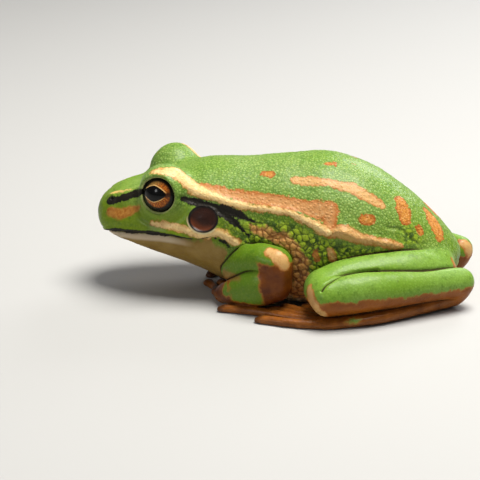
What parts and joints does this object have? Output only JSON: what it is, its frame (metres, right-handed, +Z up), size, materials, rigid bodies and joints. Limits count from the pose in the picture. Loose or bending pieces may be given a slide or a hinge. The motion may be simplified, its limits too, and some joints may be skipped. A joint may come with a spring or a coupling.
{
  "type": "tree frog",
  "caption": "Life-size tree frog resting on its belly with limbs folded, a granular green and copper back and large amber eyes, as a still display model",
  "frame": {"origin": "middle of the frog's length and width, on the surface it rests on", "axes": "+Z up; the frog faces -X, so its left side is -Y; the mid plane is y = 0"},
  "size_m": [0.0748, 0.0488, 0.0273],
  "materials": {
    "green_skin": "moist granular skin, bright green with copper and cream markings",
    "pale_skin": "moist granular skin, cream to buff",
    "copper_skin": "smooth moist skin, copper brown",
    "eardrum_skin": "thin taut skin, dark maroon",
    "eye": "wet clear cornea over a golden orange iris with a black pupil"
  },
  "bodies": {
    "root": {"head": "green_skin", "lower_jaw": "pale_skin", "trunk": "green_skin", "eye_left": "eye", "eardrum_left": "eardrum_skin", "upper_arm_left": "green_skin", "forearm_left": "green_skin", "hand_left": "green_skin", "finger_1_left": "copper_skin", "finger_2_left": "copper_skin", "finger_3_left": "copper_skin", "finger_4_left": "copper_skin", "thigh_left": "green_skin", "shank_left": "green_skin", "tarsus_left": "copper_skin", "foot_left": "copper_skin", "toe_1_left": "copper_skin", "toe_2_left": "copper_skin", "toe_3_left": "copper_skin", "toe_4_left": "copper_skin", "toe_5_left": "copper_skin", "eye_right": "eye", "eardrum_right": "eardrum_skin", "upper_arm_right": "green_skin", "forearm_right": "green_skin", "hand_right": "green_skin", "finger_1_right": "copper_skin", "finger_2_right": "copper_skin", "finger_3_right": "copper_skin", "finger_4_right": "copper_skin", "thigh_right": "green_skin", "shank_right": "green_skin", "tarsus_right": "copper_skin", "foot_right": "copper_skin", "toe_1_right": "copper_skin", "toe_2_right": "copper_skin", "toe_3_right": "copper_skin", "toe_4_right": "copper_skin", "toe_5_right": "copper_skin"}
  },
  "joints": []
}
